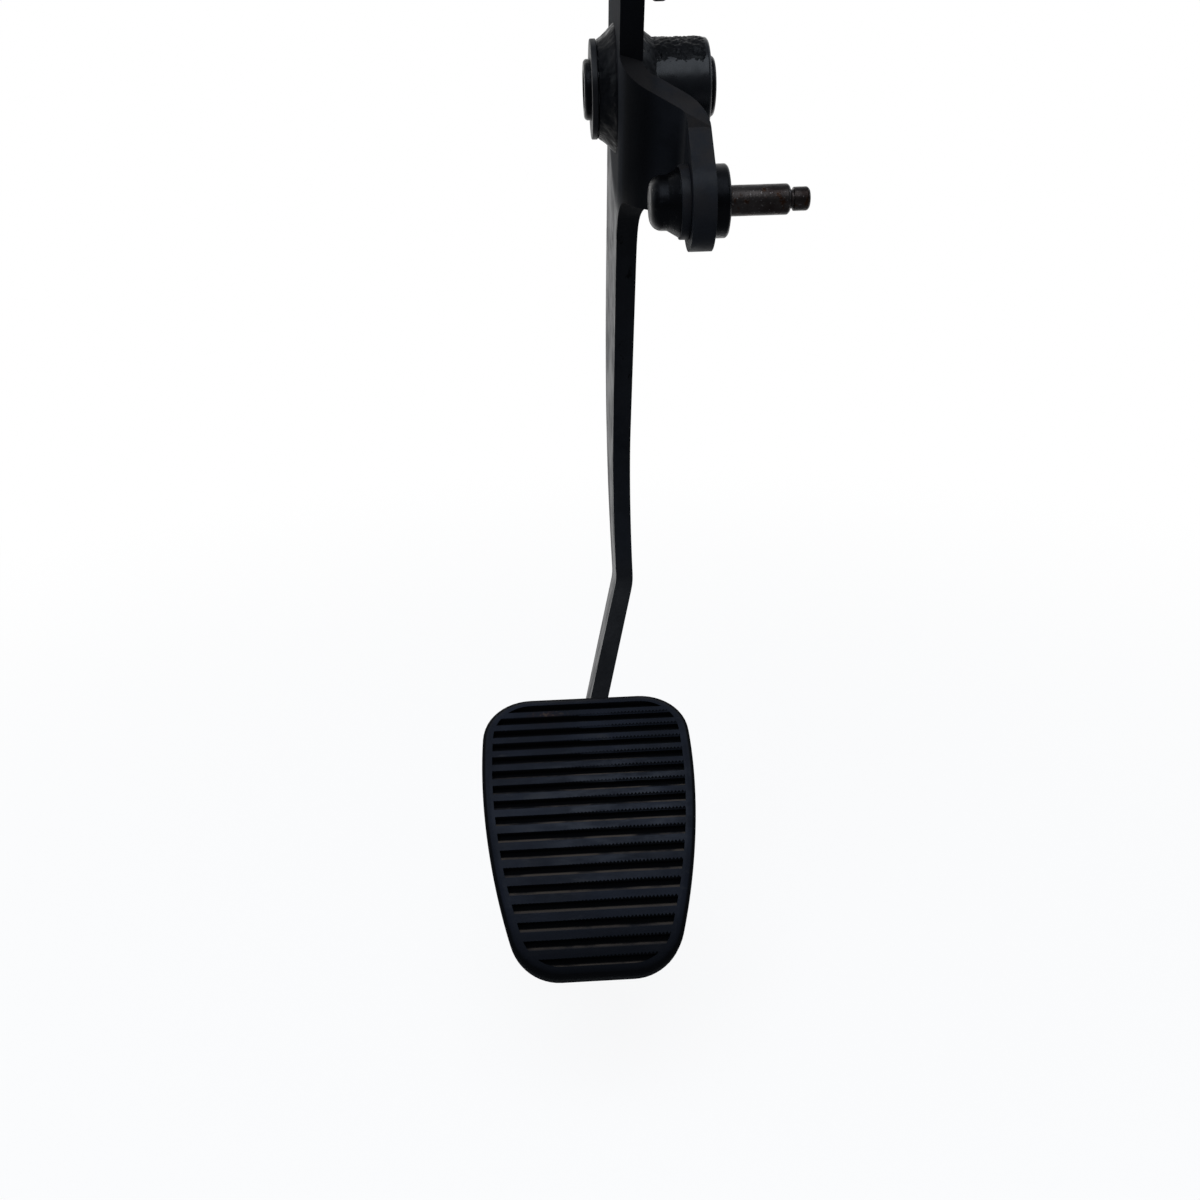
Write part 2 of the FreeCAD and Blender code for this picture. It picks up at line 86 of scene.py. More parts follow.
class PedalPadSizes(PropertyGroup):
    """Sizes of the rubber pad, laid flat before it is curved over its plate."""
    tilt: FloatProperty(
        name="Tilt", description="Angle by which the pad's face looks up",
        default=math.radians(49.1), subtype="ANGLE")
    radius: FloatProperty(
        name="Radius", description="Radius of the pad's curved face", default=125 * MM, unit="LENGTH")
    place: FloatVectorProperty(
        name="Place", description="Middle of the pad's face", subtype="XYZ", unit="LENGTH",
        default=((PAD_LOW.x + PAD_HIGH.x) / 2, -25.3 * MM, -210 * MM))
    above: FloatProperty(
        name="Above", description="From the middle to the upper edge, along the face",
        default=45.7 * MM, unit="LENGTH")
    below: FloatProperty(
        name="Below", description="From the middle to the lower edge, along the face",
        default=47.3 * MM, unit="LENGTH")
    half_top: FloatProperty(
        name="Half top", description="Half the width at the upper edge", default=32.6 * MM, unit="LENGTH")
    half_middle: FloatProperty(
        name="Half middle", description="Half the width at the middle", default=33.2 * MM, unit="LENGTH")
    half_bottom: FloatProperty(
        name="Half bottom", description="Half the width at the lower edge", default=23.2 * MM, unit="LENGTH")
    corner: FloatProperty(
        name="Corner", description="Radius of the corners", default=16 * MM, unit="LENGTH")
    face: FloatProperty(
        name="Face", description="Thickness of rubber in front of the plate", default=6 * MM, unit="LENGTH")
    plate: FloatProperty(
        name="Plate", description="Thickness of the steel plate", default=2.5 * MM, unit="LENGTH")
    lip: FloatProperty(
        name="Lip", description="Thickness of the lip behind the plate", default=2 * MM, unit="LENGTH")
    lip_reach: FloatProperty(
        name="Lip reach", description="How far the lip grips behind the plate", default=5 * MM, unit="LENGTH")
    wall: FloatProperty(
        name="Wall", description="Rubber round the edge of the plate", default=3 * MM, unit="LENGTH")
    rim: FloatProperty(
        name="Rim", description="Plain border round the ribs", default=3.4 * MM, unit="LENGTH")
    edge: FloatProperty(
        name="Edge", description="Rounding of the front edge", default=3.0 * MM, unit="LENGTH")
    grooves: IntProperty(name="Grooves", description="Number of grooves across the face", default=17, min=1)
    pitch: FloatProperty(
        name="Pitch", description="From one groove to the next", default=5.25 * MM, unit="LENGTH")
    first: FloatProperty(
        name="First", description="Highest groove, up the face from its middle",
        default=41.4 * MM, unit="LENGTH")
    crowding: FloatProperty(
        name="Crowding", description="How far the middle grooves sit up the face from even steps",
        default=1.7 * MM, unit="LENGTH")
    groove_width: FloatProperty(
        name="Groove width", description="Width of a groove between its walls",
        default=1.75 * MM, unit="LENGTH")
    groove_depth: FloatProperty(
        name="Groove depth", description="Depth of a groove", default=2.6 * MM, unit="LENGTH")
    tooth_pitch: FloatProperty(
        name="Tooth pitch", description="From tooth to tooth along a rib's edge",
        default=1.15 * MM, unit="LENGTH")
    tooth_depth: FloatProperty(
        name="Tooth depth", description="How deep the teeth cut where they are least worn",
        default=0.75 * MM, unit="LENGTH")
    worn_edge: FloatProperty(
        name="Worn edge", description="Width worn off the upper edge of each rib",
        default=0.9 * MM, unit="LENGTH")


class PedalMetalSizes(PropertyGroup):
    """Edges, weld beads and crust of the steel pieces."""
    plate_edge: FloatProperty(
        name="Plate edge", description="Rounding of the arm's edges", default=0.7 * MM, unit="LENGTH")
    turned_edge: FloatProperty(
        name="Turned edge", description="Rounding of the turned pieces' edges",
        default=0.25 * MM, unit="LENGTH")
    collar: FloatProperty(
        name="Collar", description="Thickness of the pin's collar beside the ear",
        default=4 * MM, unit="LENGTH")
    melt: FloatProperty(
        name="Melt", description="Grain of the weld beads' skin", default=0.28 * MM, unit="LENGTH")
    ripple: FloatProperty(
        name="Ripple", description="Height of the waves on a weld bead", default=0.5 * MM, unit="LENGTH")
    ripple_width: FloatProperty(
        name="Ripple width", description="Width of a wave on a weld bead", default=3.2 * MM, unit="LENGTH")
    crust: FloatProperty(
        name="Crust", description="Height of the lumps on the tube's top", default=0.75 * MM, unit="LENGTH")
    crust_width: FloatProperty(
        name="Crust width", description="Width of a lump on the tube's top", default=1.1 * MM, unit="LENGTH")
    crust_root: FloatProperty(
        name="Crust root", description="How far the crust starts below the tube's skin",
        default=0.16 * MM, unit="LENGTH")


class PedalColours(PropertyGroup):
    """Colours of the finishes."""
    paint: FloatVectorProperty(
        name="Paint", description="Black paint",
        subtype="COLOR", default=(0.0022, 0.0025, 0.0032), min=0, max=1)
    dust: FloatVectorProperty(
        name="Dust", description="Brown road dust",
        subtype="COLOR", default=(0.052, 0.042, 0.034), min=0, max=1)
    rust: FloatVectorProperty(
        name="Rust", description="Rust", subtype="COLOR", default=(0.055, 0.022, 0.009), min=0, max=1)
    rubber: FloatVectorProperty(
        name="Rubber", description="Worn black rubber",
        subtype="COLOR", default=(0.0056, 0.0070, 0.0108), min=0, max=1)
    steel: FloatVectorProperty(
        name="Steel", description="Dark turned steel",
        subtype="COLOR", default=(0.026, 0.022, 0.020), min=0, max=1)
    plastic: FloatVectorProperty(
        name="Plastic", description="Bush plastic",
        subtype="COLOR", default=(0.0035, 0.0036, 0.0042), min=0, max=1)


class PedalStage(PropertyGroup):
    """Camera, floor and light."""
    camera: FloatVectorProperty(
        name="Camera", description="Place of the camera", subtype="XYZ", unit="LENGTH",
        default=(-24.32 * MM, -344.06 * MM, 0.04 * MM))
    yaw: FloatProperty(
        name="Yaw", description="Turn to the right", default=math.radians(2.31), subtype="ANGLE")
    pitch: FloatProperty(name="Pitch", description="Look down", default=math.radians(23.04), subtype="ANGLE")
    roll: FloatProperty(
        name="Roll", description="Lean of the frame", default=math.radians(1.62), subtype="ANGLE")
    lens: FloatProperty(name="Lens", description="Focal length on a square 36 mm frame", default=FILM)
    floor_gap: FloatProperty(
        name="Floor gap", description="From the floor up to the pad", default=60 * MM, unit="LENGTH")
    floor_size: FloatProperty(name="Floor size", description="Width of the floor", default=8.0, unit="LENGTH")


# Small helpers for modelling


def settings():
    return bpy.context.scene.pedal


def deselect():
    if bpy.context.object and bpy.context.object.mode != "OBJECT":
        bpy.ops.object.mode_set(mode="OBJECT")
    bpy.ops.object.select_all(action="DESELECT")


def take(piece):
    """Make one piece the selected and active one."""
    deselect()
    piece.select_set(True)
    bpy.context.view_layer.objects.active = piece


def edit(piece):
    """Open a piece in edit mode with all its vertices selected."""
    take(piece)
    bpy.ops.object.mode_set(mode="EDIT")
    bpy.ops.mesh.select_mode(type="VERT")
    bpy.ops.mesh.select_all(action="SELECT")


def pick(piece, kind, test):
    """Select the edges or faces of a piece in edit mode whose corners all pass a test."""
    bpy.ops.mesh.select_mode(type=kind)
    bpy.ops.mesh.select_all(action="DESELECT")
    mesh = bmesh.from_edit_mesh(piece.data)
    items = mesh.edges if kind == "EDGE" else mesh.faces
    chosen = [item for item in items if all(test(vert.co) for vert in item.verts)]
    for item in chosen:
        item.select_set(True)
    bmesh.update_edit_mesh(piece.data)
    if not chosen:
        raise RuntimeError(f"{piece.name}: nothing to select")


def close_edit():
    bpy.ops.object.mode_set(mode="OBJECT")


def modify(piece, kind, **values):
    """Add a modifier, set its values and apply it."""
    take(piece)
    modifier = piece.modifiers.new(kind, kind)
    for name, value in values.items():
        setattr(modifier, name, value)
    bpy.ops.object.modifier_apply(modifier=modifier.name)


def cut(piece, tool, operation):
    """Combine a piece with a tool piece, which is used up."""
    modify(piece, "BOOLEAN", object=tool, operation=operation, solver="EXACT")
    bpy.data.objects.remove(tool)


def smooth(piece, degrees):
    """Smooth shading that stays crisp at corners, with flat faces kept flat."""
    take(piece)
    bpy.ops.object.shade_smooth_by_angle(angle=math.radians(degrees))
    modify(piece, "WEIGHTED_NORMAL", keep_sharp=True, weight=60)


def finish_piece(piece, body, slot, material, *nodes):
    """Give a piece its finish and tie it to the frame."""
    piece.data.materials.clear()
    piece.data.materials.append(material)
    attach(piece, body)
    if nodes:
        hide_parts(*nodes)


def dressed_copy(node, name):
    """A copy of a frame node with its loose triangles merged into clean faces."""
    same_place, same_plane = 0.002 * MM, math.radians(0.4)
    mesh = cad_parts[node].data.copy()
    piece = bpy.data.objects.new(name, mesh)
    bpy.context.scene.collection.objects.link(piece)
    edit(piece)
    bpy.ops.mesh.remove_doubles(threshold=same_place)
    bpy.ops.mesh.dissolve_limited(angle_limit=same_plane)
    close_edit()
    return piece


def rounded_copy(node, name, edge, segments=2, crease=30):
    """A dressed copy whose sharp edges are rounded."""
    piece = dressed_copy(node, name)
    modify(piece, "BEVEL", width=edge, segments=segments, limit_method="ANGLE",
           angle_limit=math.radians(crease), use_clamp_overlap=True, miter_outer="MITER_ARC")
    smooth(piece, crease)
    return piece


# Finishes


class Wiring:
    """The nodes of a material or a world, added and joined step by step."""

    def __init__(self, tree):
        self.nodes = tree.nodes
        self.links = tree.links

    def add(self, kind, *values, **choices):
        """A new node; each value is joined or written to its next input, and None leaves one as it is."""
        node = self.nodes.new("ShaderNode" + kind)
        for name, choice in choices.items():
            setattr(node, name, choice)
        for value, socket in zip(values, node.inputs):
            if isinstance(value, bpy.types.NodeSocket):
                self.links.new(value, socket)
            elif value is not None:
                socket.default_value = value
        return node

    def ramp(self, value, low, high, start=0.0, end=1.0):
        """A value eased from start to end between two levels."""
        return self.add("MapRange", value, low, high, start, end, interpolation_type="SMOOTHSTEP").outputs[0]

    def combine(self, operation, first, second):
        """Two values taken together by an operation and kept between nothing and one."""
        return self.add("Math", first, second, operation=operation, use_clamp=True).outputs[0]

    def times(self, first, second):
        return self.combine("MULTIPLY", first, second)

    def blend(self, share, first, second):
        """A mix of two shaders."""
        return self.add("MixShader", share, first.outputs[0], second.outputs[0])


class Finish(Wiring):
    """A material on object coordinates."""

    def __init__(self, name):
        self.material = bpy.data.materials.new(name)
        self.material.use_nodes = True
        super().__init__(self.material.node_tree)
        self.shader = self.nodes["Principled BSDF"]
        self.coordinates = self.add("TexCoord")
        self.place = self.coordinates.outputs["Object"]

    def mapped(self, scale, location=None):
        """The place, stretched by a scale and then moved."""
        return self.add("Mapping", self.place, location, None, scale).outputs[0]

    def noise(self, size, detail=3.0, rough=0.5, vector=None):
        """Clouded value with features of about a size in metres."""
        return self.add("TexNoise", vector or self.place, None, 1 / size, detail, rough).outputs[0]

    def near(self, point, reach):
        """One at a point, easing to nothing at a reach along each axis."""
        scale = tuple(1 / size for size in reach)
        away = tuple(-at / size for at, size in zip(point, reach))
        return self.add("TexGradient", self.mapped(scale, away), gradient_type="SPHERICAL").outputs[1]

    def along(self, axis):
        """The place along X, Y or Z."""
        return self.add("SeparateXYZ", self.place).outputs[axis]

    def around(self, y, z):
        """Distance from a line along X through a place."""
        flat = self.mapped((0, 1, 1))
        return self.add("VectorMath", flat, (0.0, y, z), operation="DISTANCE").outputs["Value"]

    def facing(self, direction):
        """How far the surface looks along a direction fixed to the piece."""
        normal = self.coordinates.outputs["Normal"]
        return self.add("VectorMath", normal, direction, operation="DOT_PRODUCT").outputs["Value"]

    def mix(self, amount, first, second):
        """Blend two colours, each a socket or a plain colour."""
        node = self.add("Mix", amount, data_type="RGBA")
        for value, socket in ((first, node.inputs[6]), (second, node.inputs[7])):
            if isinstance(value, bpy.types.NodeSocket):
                self.links.new(value, socket)
            else:
                socket.default_value = (*value, 1.0)
        return node.outputs[2]

    def bump(self, height, depth, under=None):
        """Raise the surface by a height value times a depth in metres."""
        node = self.add("Bump")
        node.inputs["Strength"].default_value = 1.0
        node.inputs["Distance"].default_value = depth
        self.links.new(height, node.inputs["Height"])
        if under:
            self.links.new(under, node.inputs["Normal"])
        return node.outputs[0]

    def done(self, colour, roughness, normal, **plain):
        """Join the last sockets and set the plain values."""
        self.links.new(colour, self.shader.inputs["Base Color"])
        self.links.new(roughness, self.shader.inputs["Roughness"])
        self.links.new(normal, self.shader.inputs["Normal"])
        for name, value in plain.items():
            self.shader.inputs[name.replace("_", " ").title().replace("Ior", "IOR")].default_value = value
        return self.material


def shades(colour, times):
    """A colour made lighter or darker."""
    return tuple(value * times for value in colour)


def shared(make):
    """A finish that several pieces share, made when it is first asked for."""
    return bpy.data.materials.get(make.__name__) or make()


def satin_paint():
    """Satin black paint: chips, rubbed patches, a painted sheen of lighter grey on the broad faces, the ear
    and the shin, and dust on the ear's cut edge.
    """
    colours = settings().colours
    finish = Finish("satin_paint")
    rubbed = finish.ramp(finish.noise(0.030, 5.0, 0.62), 0.50, 0.68)
    streaks = finish.noise(0.006, 4.0, 0.65, finish.mapped((1.0, 1.0, 0.28)))
    chips = finish.ramp(streaks, 0.62, 0.66)
    knocked = finish.near((-3 * MM, 25 * MM, -70 * MM), (30 * MM, 75 * MM, 75 * MM))
    chips = finish.times(chips, finish.ramp(knocked, 0.1, 0.5))
    dusty = finish.times(finish.near((14 * MM, -25 * MM, -12 * MM), (28 * MM, 34 * MM, 34 * MM)),
                         finish.ramp(finish.noise(0.008, 5.0, 0.6), 0.30, 0.62))
    grime = finish.times(dusty, finish.ramp(finish.facing((0.0, -0.6, 0.8)), 0.15, 0.6))
    colour = finish.mix(rubbed, colours.paint, shades(colours.paint, 1.7))
    # Painted sheen: the broad side faces and the shin get patches of lighter grey paint in place of the
    # reflection of a bright background, and the ear is lightened the same way.
    height = finish.along("Z")
    ear = finish.times(finish.ramp(finish.along("X"), 3 * MM, 8 * MM),
                       finish.ramp(height, -120 * MM, -80 * MM))
    shin = finish.times(finish.ramp(height, -30 * MM, -90 * MM), finish.ramp(height, -160 * MM, -145 * MM))
    broad = finish.ramp(finish.combine("ABSOLUTE", finish.facing((1.0, 0.0, 0.0)), 0.0), 0.80, 0.97)
    painted_sheen = finish.combine("MAXIMUM", finish.combine("MAXIMUM", ear, broad), finish.times(shin, 0.75))
    patchy_painted_sheen = finish.times(painted_sheen, finish.ramp(finish.noise(0.005, 5.0, 0.6), 0.30, 0.62, 0.6, 1.0))
    colour = finish.mix(patchy_painted_sheen, colour, shades(colours.paint, 3.8))
    colour = finish.mix(finish.times(grime, 0.8), colour, shades(colours.dust, 0.36))
    colour = finish.mix(chips, colour, shades(colours.paint, 0.35))
    worn = finish.ramp(finish.noise(0.012, 4.0, 0.6), 0.35, 0.7, 0.34, 0.50)
    grimy = finish.near((-3 * MM, -2 * MM, 8 * MM), (45 * MM, 48 * MM, 52 * MM))
    dull = finish.ramp(grimy, 0.12, 0.40, 0.0, 0.78)
    roughness = finish.combine("MAXIMUM", worn, finish.combine("MAXIMUM", dull, finish.times(chips, 0.9)))
    peel = finish.bump(finish.noise(0.0016, 2.0), 0.045 * MM)
    dents = finish.bump(finish.noise(0.012, 2.0), 0.10 * MM, peel)
    return finish.done(colour, roughness, dents, specular_ior_level=0.065)


def gloss_paint():
    """The same paint where it ran on thick and dried shiny, on the pivot tube."""
    colours = settings().colours
    finish = Finish("gloss_paint")
    cloud = finish.ramp(finish.noise(0.009, 4.0, 0.6), 0.40, 0.66)
    colour = finish.mix(cloud, colours.paint, shades(colours.paint, 1.6))
    roughness = finish.ramp(finish.noise(0.006, 3.0), 0.3, 0.7, 0.20, 0.32)
    runs = finish.bump(finish.noise(0.0045, 2.0), 0.07 * MM)
    return finish.done(colour, roughness, runs, specular_ior_level=0.17)


def weld_paint():
    """Black paint that has run over a rough bead."""
    colours = settings().colours
    finish = Finish("weld_paint")
    blotch = finish.ramp(finish.noise(0.004, 4.0, 0.6), 0.42, 0.66)
    colour = finish.mix(blotch, shades(colours.paint, 0.7), colours.paint)
    roughness = finish.ramp(finish.noise(0.003, 3.0), 0.3, 0.7, 0.22, 0.50)
    lumps = finish.bump(finish.noise(0.0018, 4.0, 0.6), 0.12 * MM)
    return finish.done(colour, roughness, lumps, specular_ior_level=0.055)


def moulded_plastic():
    """Moulded black plastic with faint scuffs."""
    colours = settings().colours
    finish = Finish("moulded_plastic")
    scuffs = finish.ramp(finish.noise(0.003, 5.0, 0.7), 0.55, 0.72)
    colour = finish.mix(scuffs, colours.plastic, shades(colours.plastic, 3.0))
    roughness = finish.ramp(finish.noise(0.005, 3.0), 0.3, 0.7, 0.34, 0.5)
    grain = finish.bump(finish.noise(0.0007, 2.0), 0.03 * MM)
    return finish.done(colour, roughness, grain, specular_ior_level=0.15)


def turned_steel():
    """Turned steel: oiled black up to the pin's collar, bare and rust brown beyond it."""
    colours = settings().colours
    finish = Finish("turned_steel")
    stain = finish.ramp(finish.noise(0.007, 5.0, 0.6), 0.36, 0.64)
    colour = finish.mix(stain, colours.steel, (0.011, 0.007, 0.006))
    rusty = finish.ramp(finish.noise(0.0022, 4.0, 0.65), 0.54, 0.68)
    colour = finish.mix(rusty, colour, shades(colours.rust, 0.35))
    specks = finish.ramp(finish.noise(0.0007, 3.0, 0.6), 0.62, 0.72)
    colour = finish.mix(specks, colour, (0.11, 0.10, 0.095))
    collar_end = EAR_SIDE + settings().metal.collar
    bare = finish.ramp(finish.along("X"), collar_end - 0.2 * MM, collar_end + 0.2 * MM)
    colour = finish.mix(bare, (0.0036, 0.0038, 0.0044), colour)
    roughness = finish.ramp(finish.noise(0.004, 4.0, 0.6), 0.3, 0.7, 0.25, 0.44)
    marks = finish.noise(0.0011, 2.0, 0.5, finish.mapped((5.0, 0.4, 0.4)))
    turned = finish.bump(marks, 0.03 * MM)
    pits = finish.bump(rusty, 0.05 * MM, turned)
    return finish.done(colour, roughness, pits, metallic=0.85, specular_ior_level=0.15)


def worn_rubber():
    """Worn rubber: a painted highlight in the middle, painted shade on the lower ribs, in the grooves and
    round the rim, dust on the lower ribs, a rusty smear near the top.
    """
    colours = settings().colours
    sizes = settings().pad
    finish = Finish("worn_rubber")
    place = Vector(sizes.place)
    lean = Matrix.Rotation(-sizes.tilt, 3, "X")
    up = lean @ Vector((0, 0, 1))
    patches = finish.ramp(finish.noise(0.020, 4.0, 0.6), 0.38, 0.68)
    colour = finish.mix(patches, colours.rubber, shades(colours.rubber, 1.6))
    scuffed = finish.noise(0.004, 5.0, 0.65, finish.mapped((0.30, 1.0, 1.0)))
    colour = finish.mix(finish.ramp(scuffed, 0.56, 0.74), colour, (0.017, 0.018, 0.021))

    # Painted highlight: a lighter bluish patch on the middle of the ribs, in place of the lamp's reflection
    # there.
    highlight_spot = finish.near(tuple(place + up * 4 * MM + Vector((7 * MM, 0, 0))), (36 * MM, 30 * MM, 30 * MM))
    painted_highlight = finish.times(finish.ramp(highlight_spot, 0.05, 0.7), finish.ramp(scuffed, 0.40, 0.62))
    colour = finish.mix(finish.times(painted_highlight, 0.7), colour, (0.026, 0.029, 0.036))
    # Painted shade: the rubber colour is darkened towards the bottom of the pad, on the lower ribs.
    shaded = finish.ramp(finish.along("Z"), PAD_LOW.z + 36 * MM, PAD_LOW.z + 8 * MM)
    colour = finish.mix(shaded, colour, shades(colours.rubber, 0.4))

    ledges = finish.ramp(finish.facing(tuple(up)), 0.30, 0.62)
    lower = place - up * 24 * MM
    settled = finish.ramp(finish.near(tuple(lower), (75 * MM, 58 * MM, 58 * MM)), 0.02, 0.40)
    broken = finish.ramp(finish.noise(0.010, 5.0, 0.62, finish.mapped((0.5, 1.0, 1.0))), 0.34, 0.56)
    dust = finish.times(finish.times(ledges, settled), broken)
    colour = finish.mix(finish.times(dust, 0.9), colour, colours.dust)

    smear_at = place + up * 39 * MM + Vector((-12 * MM, 0, 0))
    smear = finish.near(tuple(smear_at), (16 * MM, 8 * MM, 8 * MM))
    blots = finish.ramp(finish.noise(0.0032, 5.0, 0.7), 0.44, 0.60)
    smeared = finish.times(finish.ramp(smear, 0.02, 0.5), blots)
    colour = finish.mix(finish.times(smeared, 0.3), colour, colours.rust)
    grit = finish.ramp(finish.noise(0.0013, 2.0, 0.5), 0.56, 0.64)
    crumbs = finish.times(finish.ramp(smear, 0.1, 0.5), grit)
    colour = finish.mix(crumbs, colour, (0.075, 0.050, 0.034))

    # Painted shade: everything but the proud rib tops and the dusty ledges, that is the grooves and the
    # rounded rim, takes rubber darkened to 0.15 and is made matt.
    out = lean @ Vector((0, -1, 0))
    axis = place - out * sizes.radius
    proud = finish.ramp(finish.around(axis.y, axis.z), sizes.radius - 1.1 * MM, sizes.radius - 0.35 * MM)
    border = finish.ramp(finish.facing(tuple(out)), 0.66, 0.90)
    bare = finish.times(proud, finish.combine("MAXIMUM", border, dust))
    colour = finish.mix(bare, shades(colours.rubber, 0.15), colour)
    rubbed = finish.ramp(finish.noise(0.009, 4.0, 0.6), 0.32, 0.7, 0.42, 0.60)
    matt = finish.combine("MAXIMUM", finish.ramp(bare, 0.0, 1.0, 0.92, 0.0), finish.times(shaded, 0.8))
    roughness = finish.combine("MAXIMUM", rubbed, matt)
    grain = finish.bump(finish.noise(0.0008, 3.0, 0.6), 0.05 * MM)
    waves = finish.bump(finish.noise(0.007, 3.0, 0.5, finish.mapped((0.35, 1.0, 1.0))), 0.35 * MM, grain)
    return finish.done(colour, roughness, waves, specular_ior_level=0.06)


# Pieces


class PEDAL_OT_arm(Operator):
    """Round the edges of the folded arm and paint it"""
    bl_idname = "pedal.arm"
    bl_label = "Arm"

    def execute(self, context):
        sizes = settings().metal
        arm = rounded_copy("pedal_arm", "painted_arm", sizes.plate_edge, segments=3, crease=32)
        finish_piece(arm, PEDAL, "black_paint", shared(satin_paint), "pedal_arm")
        return {"FINISHED"}


class PEDAL_OT_pivot(Operator):
    """Dress the pivot tube, its bushes and the sleeve that runs in them"""
    bl_idname = "pedal.pivot"
    bl_label = "Pivot"

    def execute(self, context):
        edge = settings().metal.turned_edge
        tube = rounded_copy("pivot_tube", "painted_tube", edge)
        finish_piece(tube, PEDAL, "black_paint", shared(gloss_paint), "pivot_tube")
        plastic = shared(moulded_plastic)
        for side in ("left", "right"):
            node = f"pivot_bush_{side}"
            bush = rounded_copy(node, f"moulded_bush_{side}", edge)
            finish_piece(bush, PEDAL, "bush_plastic", plastic, node)
        sleeve = rounded_copy("pivot_sleeve", "turned_sleeve", edge)
        finish_piece(sleeve, SLEEVE, "dark_steel", shared(turned_steel), "pivot_sleeve")
        return {"FINISHED"}


def melted(piece, grain, rounds):
    """Give a bead one even, softened skin."""
    modify(piece, "REMESH", mode="VOXEL", voxel_size=grain)
    modify(piece, "SMOOTH", factor=0.5, iterations=rounds)
    take(piece)
    bpy.ops.object.shade_smooth()


def roughen(piece, name, width, height, middle=0.5, group=""):
    """Raise lumps of a width and a height on a piece, by the weights of a vertex group where one is named."""
    lumps = bpy.data.textures.new(name, "CLOUDS")
    lumps.noise_scale = width
    lumps.noise_depth = 2
    modify(piece, "DISPLACE", texture=lumps, texture_coords="LOCAL", strength=height, mid_level=middle,
           vertex_group=group)


def pivot_bead(node, name, outward):
    """Fillet bead turned round the tube: a hollow slope whose foot and toe sink into the arm and the tube."""
    low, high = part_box(node)
    foot = high.x if outward < 0 else low.x
    run = (high.x - low.x) * outward
    rise = high.z - TUBE_RADIUS
    slope = ((-0.12, 1.0), (0.05, 0.93), (0.22, 0.70), (0.48, 0.42), (0.76, 0.18), (1.0, 0.02), (1.06, -0.12))
    root = ((0.5, -0.25), (-0.12, -0.25))
    steps_round = 96
    section = [(foot + run * along, TUBE_RADIUS + rise * up) for along, up in slope + root]
    deselect()
    bpy.ops.mesh.primitive_circle_add(vertices=len(section), radius=MM, fill_type="NOTHING")
    bead = bpy.context.object
    bead.name = name
    edit(bead)
    mesh = bmesh.from_edit_mesh(bead.data)
    mesh.verts.ensure_lookup_table()
    for vert, (x, radius) in zip(mesh.verts, section):
        vert.co = (x, 0.0, radius)
    bmesh.update_edit_mesh(bead.data)
    bpy.ops.mesh.spin(steps=steps_round, angle=2 * math.pi, center=(0, 0, 0), axis=(1, 0, 0))
    bpy.ops.mesh.select_all(action="SELECT")
    bpy.ops.mesh.remove_doubles(threshold=TINY)
    bpy.ops.mesh.normals_make_consistent(inside=False)
    close_edit()
    modify(bead, "SUBSURF", levels=2, render_levels=2)
    take(bead)
    bpy.ops.object.shade_smooth()
    return bead


class PEDAL_OT_welds(Operator):
    """Lay the weld beads at the tube and under the foot, and the crust on the tube"""
    bl_idname = "pedal.welds"
    bl_label = "Welds"

    def execute(self, context):
        sizes = settings().metal
        paint = shared(weld_paint)
        for side in ("left", "right"):
            node = f"pivot_weld_{side}"
            bead = pivot_bead(node, f"pivot_bead_{side}", outward=-1 if side == "left" else 1)
            roughen(bead, f"pivot_{side}_waves", sizes.ripple_width, sizes.ripple)
            roughen(bead, f"pivot_{side}_grain", sizes.crust_width, sizes.ripple / 3)
            finish_piece(bead, PEDAL, "painted_weld", paint, node)
            node = f"foot_weld_{side}"
            bead = dressed_copy(node, f"foot_bead_{side}")
            melted(bead, sizes.melt, 5)
            roughen(bead, f"foot_{side}_waves", sizes.ripple_width, sizes.ripple)
            finish_piece(bead, PEDAL, "painted_weld", paint, node)
        self.crust(sizes, paint)
        return {"FINISHED"}

    def crust(self, sizes, paint):
        """Lumps of spatter and thick paint over the tube's top, sunk into the tube at their borders."""
        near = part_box("pivot_weld_right")[0].x
        bare_end = 0.6 * MM
        far = TUBE_HIGH.x - bare_end
        behind, before = math.radians(45), math.radians(162)
        rising, falling, ending = math.radians(25), math.radians(32), 1.6 * MM
        steps_round, steps_along = 260, 64
        deselect()
        bpy.ops.mesh.primitive_cylinder_add(
            vertices=steps_round, radius=TUBE_RADIUS - sizes.crust_root, depth=far - near,
            end_fill_type="NOTHING", location=((near + far) / 2, 0, 0), rotation=(0, math.pi / 2, 0))
        crust = bpy.context.object
        crust.name = "weld_spatter"
        bpy.ops.object.transform_apply(location=True, rotation=True, scale=True)
        edit(crust)
        pick(crust, "FACE", lambda at: not behind < math.atan2(at.z, at.y) < before)
        bpy.ops.mesh.delete(type="FACE")
        bpy.ops.mesh.select_mode(type="EDGE")
        bpy.ops.mesh.select_all(action="DESELECT")
        mesh = bmesh.from_edit_mesh(crust.data)
        for line in mesh.edges:
            line.select_set(abs(line.verts[0].co.x - line.verts[1].co.x) > (far - near) / 2)
        bmesh.update_edit_mesh(crust.data)
        bpy.ops.mesh.subdivide(number_cuts=steps_along)
        bpy.ops.mesh.select_all(action="SELECT")
        bpy.ops.mesh.normals_make_consistent(inside=False)
        close_edit()

        group = crust.vertex_groups.new(name="thick")
        for vert in crust.data.vertices:
            angle = math.atan2(vert.co.z, vert.co.y)
            rise = min(1.0, (angle - behind) / rising)
            fall = min(1.0, (before - angle) / falling)
            end = min(1.0, (far - vert.co.x) / ending)
            group.add([vert.index], max(0.0, rise * fall * end), "REPLACE")
        roughen(crust, "crust_lumps", sizes.crust_width, sizes.crust, 0.0, group.name)
        roughen(crust, "crust_grain", sizes.crust_width / 3, sizes.crust / 3, 0.5, group.name)
        modify(crust, "SOLIDIFY", thickness=2 * sizes.crust_root, offset=-1.0)
        take(crust)
        bpy.ops.object.shade_smooth()
        finish_piece(crust, PEDAL, "painted_weld", paint)


